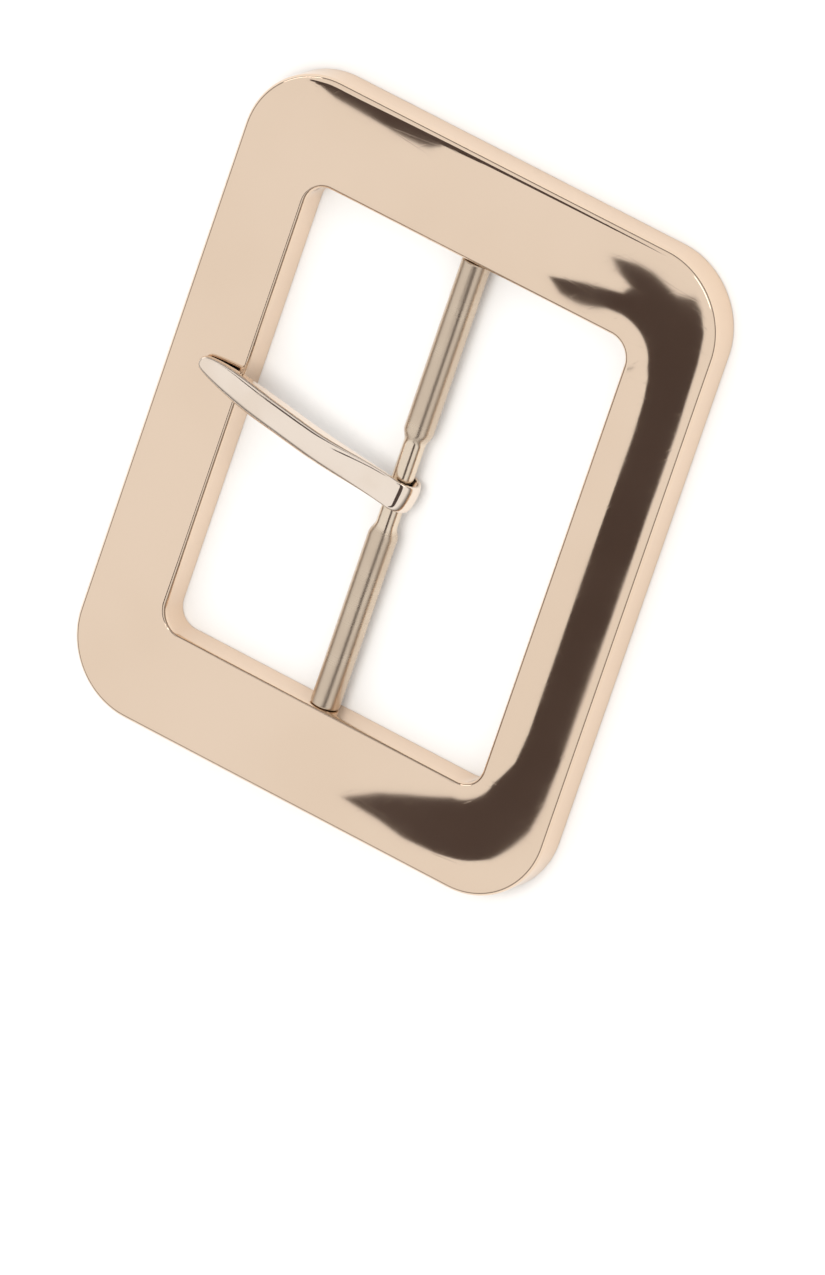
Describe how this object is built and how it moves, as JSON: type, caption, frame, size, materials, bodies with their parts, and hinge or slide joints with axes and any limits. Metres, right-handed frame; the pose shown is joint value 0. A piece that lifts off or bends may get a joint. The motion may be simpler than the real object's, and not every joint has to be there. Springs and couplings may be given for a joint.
{
  "type": "belt buckle",
  "caption": "Rectangular centre-bar belt buckle: a hollow-backed cast frame with a softly domed mirror face, a bar across its opening and a hinged prong curled round the bar.",
  "frame": {"origin": "middle of the back, on the plane of the back rim that the buckle rests on", "axes": "+Z out of the face, Y along the centre bar, across the strap, X along the strap with the prong's tip towards -X"},
  "size_m": [0.0548, 0.0698, 0.0061],
  "materials": {
    "frame_metal": "mirror-polished pale nickel-gold plate on a cast frame, duller in the hollow back",
    "bar_metal": "drawn and plated bar, semi-bright, rubbed bright where the strap bears",
    "prong_metal": "bright polished pale plate, slightly whiter than the frame"
  },
  "bodies": {
    "frame_body": {"frame": "frame_metal", "centre_bar": "bar_metal"},
    "prong_body": {"prong": "prong_metal"}
  },
  "joints": [
    {"name": "prong_swing", "type": "hinge", "parent": "frame_body", "child": "prong_body", "pos_m": [0, -0.0008, 0.0021], "axis": [0, 1, 0], "range_deg": [0, 160]}
  ]
}
